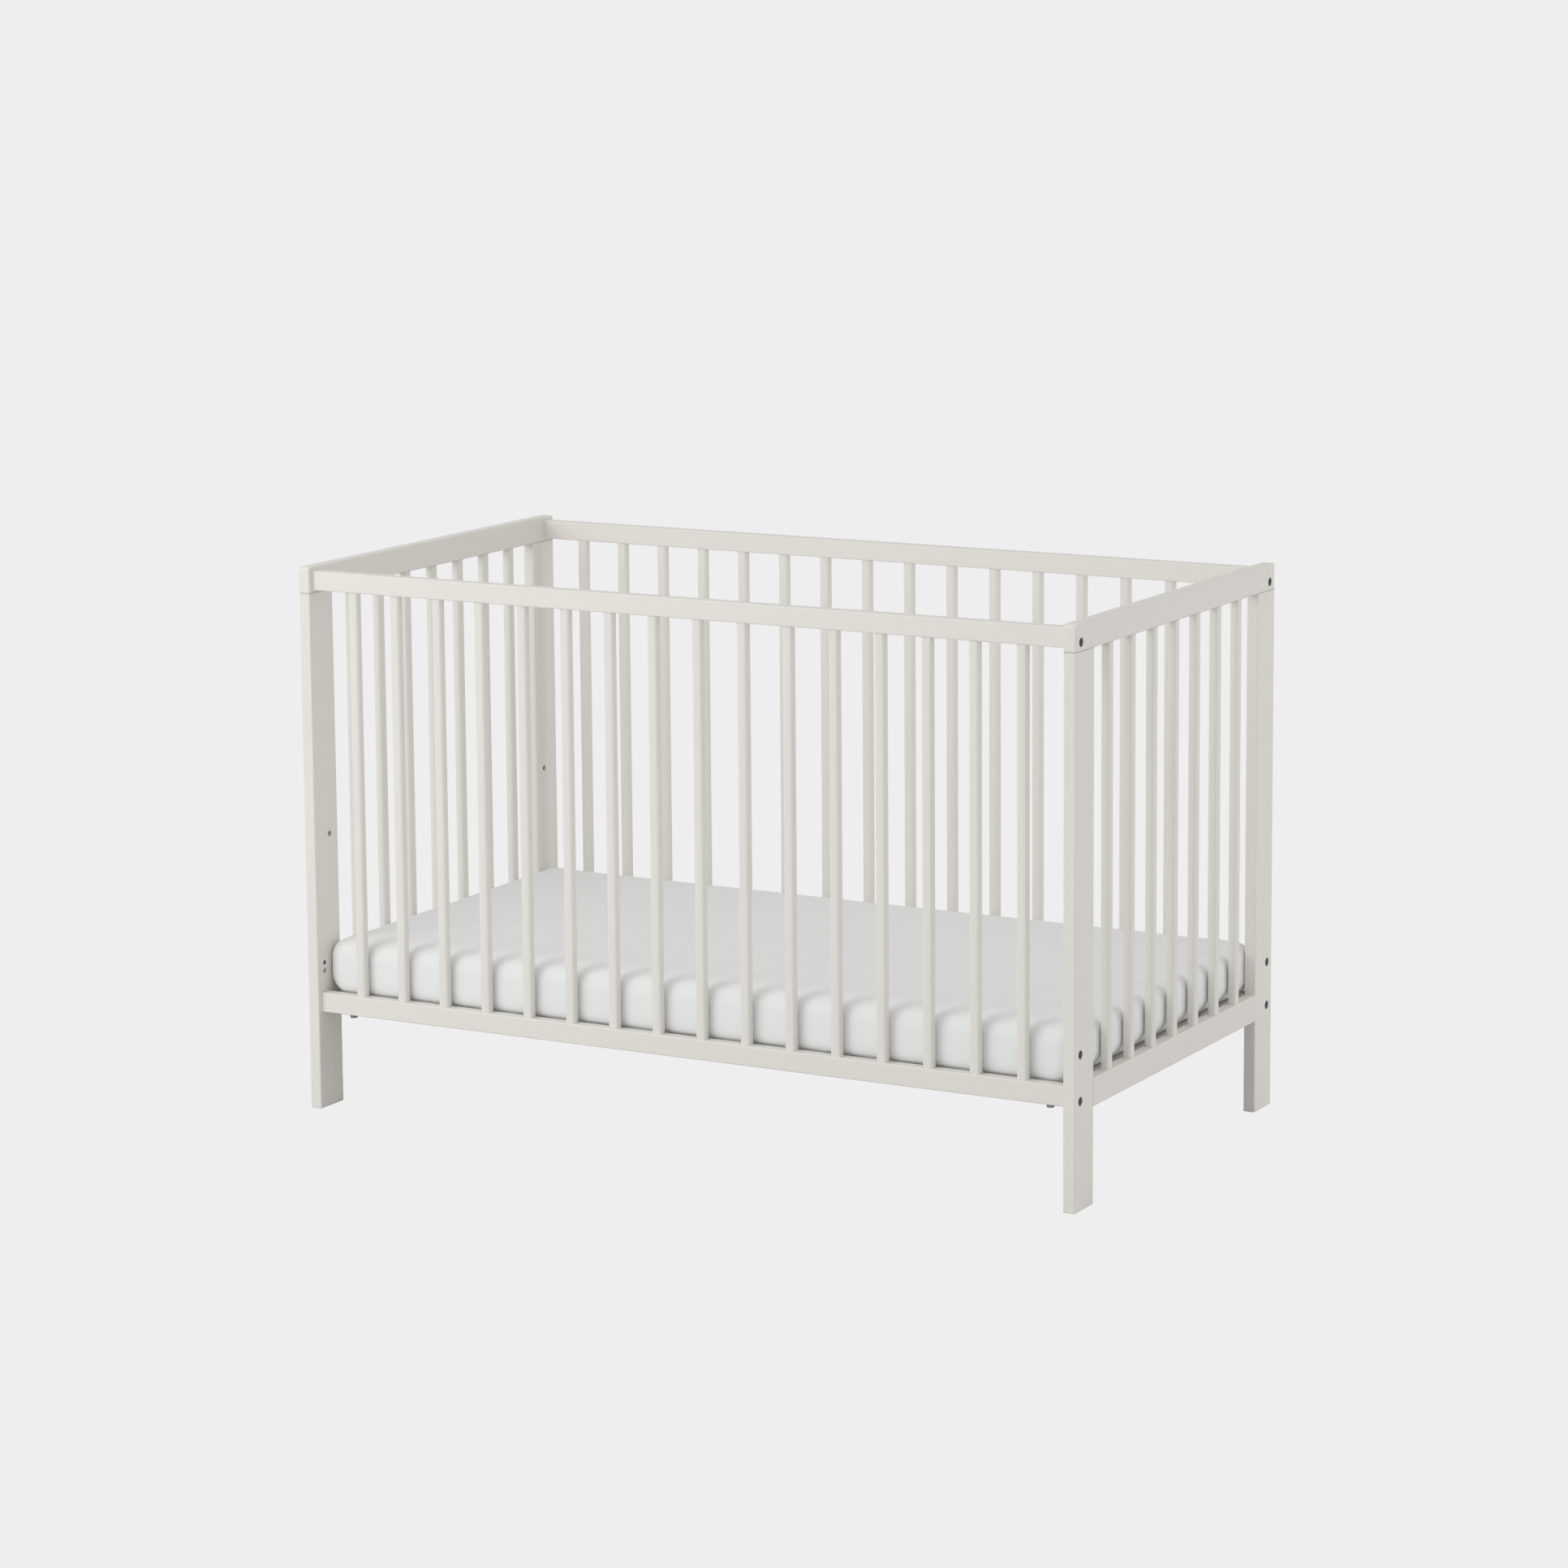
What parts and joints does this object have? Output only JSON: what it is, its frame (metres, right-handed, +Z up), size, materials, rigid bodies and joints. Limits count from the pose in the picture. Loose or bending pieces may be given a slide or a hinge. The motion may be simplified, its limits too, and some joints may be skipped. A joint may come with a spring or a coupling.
{
  "type": "baby crib",
  "caption": "Slatted baby crib with flat-board legs, open slatted ends and sides, a slatted bed base and a sheeted mattress that lifts out.",
  "frame": {"origin": "on the floor under the middle of the crib", "axes": "+X along the length towards the right end, +Y from the front side to the rear side, +Z up"},
  "size_m": [1.24, 0.66, 0.8],
  "materials": {
    "painted_wood": "satin off-white paint",
    "dowel_wood": "plain beech",
    "zinc_steel": "zinc plated",
    "brass": "plain turned",
    "mattress_cover": "knitted cover",
    "sheet_cotton": "plain woven cotton"
  },
  "bodies": {
    "frame": {"leg_front_left": "painted_wood", "leg_front_right": "painted_wood", "leg_rear_left": "painted_wood", "leg_rear_right": "painted_wood", "end_top_rail_left": "painted_wood", "end_top_rail_right": "painted_wood", "end_low_rail_left": "painted_wood", "end_low_rail_right": "painted_wood", "side_top_rail_front": "painted_wood", "side_top_rail_rear": "painted_wood", "side_low_rail_front": "painted_wood", "side_low_rail_rear": "painted_wood", "front_slat_01": "painted_wood", "front_slat_02": "painted_wood", "front_slat_03": "painted_wood", "front_slat_04": "painted_wood", "front_slat_05": "painted_wood", "front_slat_06": "painted_wood", "front_slat_07": "painted_wood", "front_slat_08": "painted_wood", "front_slat_09": "painted_wood", "front_slat_10": "painted_wood", "front_slat_11": "painted_wood", "front_slat_12": "painted_wood", "front_slat_13": "painted_wood", "front_slat_14": "painted_wood", "front_slat_15": "painted_wood", "front_slat_16": "painted_wood", "left_end_slat_1": "painted_wood", "left_end_slat_2": "painted_wood", "left_end_slat_3": "painted_wood", "left_end_slat_4": "painted_wood", "left_end_slat_5": "painted_wood", "left_end_slat_6": "painted_wood", "left_end_slat_7": "painted_wood", "right_end_slat_1": "painted_wood", "right_end_slat_2": "painted_wood", "right_end_slat_3": "painted_wood", "right_end_slat_4": "painted_wood", "right_end_slat_5": "painted_wood", "right_end_slat_6": "painted_wood", "right_end_slat_7": "painted_wood", "rear_slats": "painted_wood", "base_long_rail_front": "painted_wood", "base_long_rail_rear": "painted_wood", "base_slats": "painted_wood", "rail_dowels": "dowel_wood", "panel_dowels": "dowel_wood", "rail_bolts": "zinc_steel", "rail_barrel_nuts": "zinc_steel", "base_studs": "zinc_steel", "base_lock_nuts": "zinc_steel", "base_screws": "zinc_steel", "leg_inserts": "brass"},
    "mattress": {"mattress": "mattress_cover", "fitted_sheet": "sheet_cotton"}
  },
  "joints": [
    {"name": "mattress_lift", "type": "slide", "parent": "frame", "child": "mattress", "axis": [0, 0, 1], "range_m": [0, 0.65]}
  ]
}
